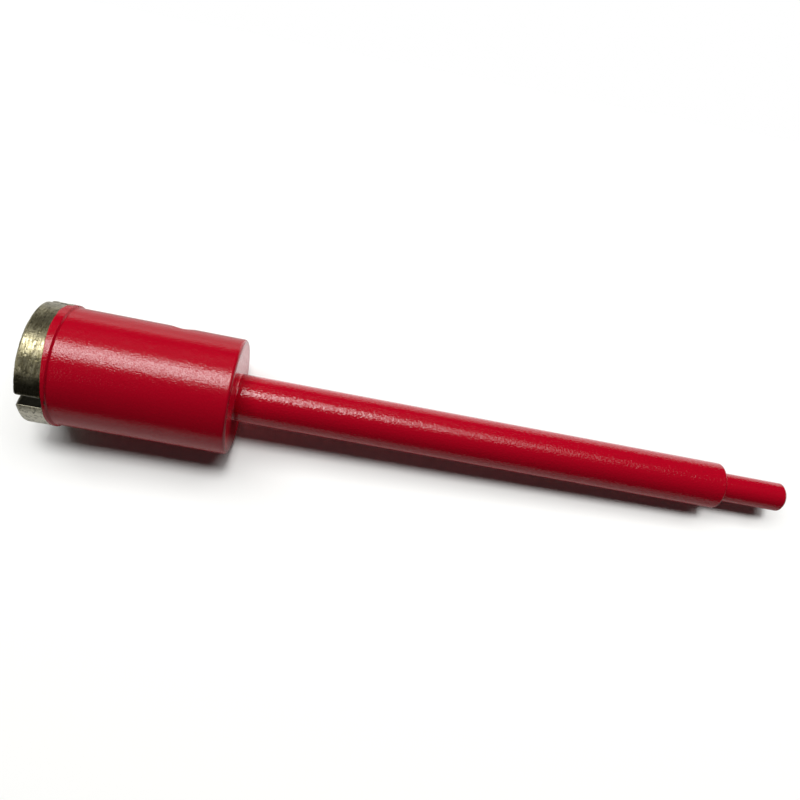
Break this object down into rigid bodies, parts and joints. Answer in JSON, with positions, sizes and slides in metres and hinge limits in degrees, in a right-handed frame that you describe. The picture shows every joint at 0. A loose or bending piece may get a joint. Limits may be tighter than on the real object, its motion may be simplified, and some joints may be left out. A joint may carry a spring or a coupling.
{
  "type": "diamond core bit",
  "caption": "Long-shaft core bit: a slotted diamond crown on a red painted steel barrel, with a plain round shank for a drill chuck.",
  "frame": {"origin": "on the axis, in the plane of the cutting rim that the bit stands on", "axes": "+Z along the axis from the cutting rim to the shank; X runs through the two side holes"},
  "size_m": [0.04, 0.04, 0.2585],
  "materials": {
    "diamond_matrix": "ground sintered metal with diamond grit",
    "barrel_paint": "gloss red spray paint with light orange peel",
    "plug_paint": "gloss red spray paint outside, bare steel inside",
    "shaft_paint": "gloss red spray paint with light orange peel"
  },
  "bodies": {
    "root": {"diamond_crown": "diamond_matrix", "barrel_tube": "barrel_paint", "end_plug": "plug_paint", "shaft": "shaft_paint"}
  },
  "joints": []
}
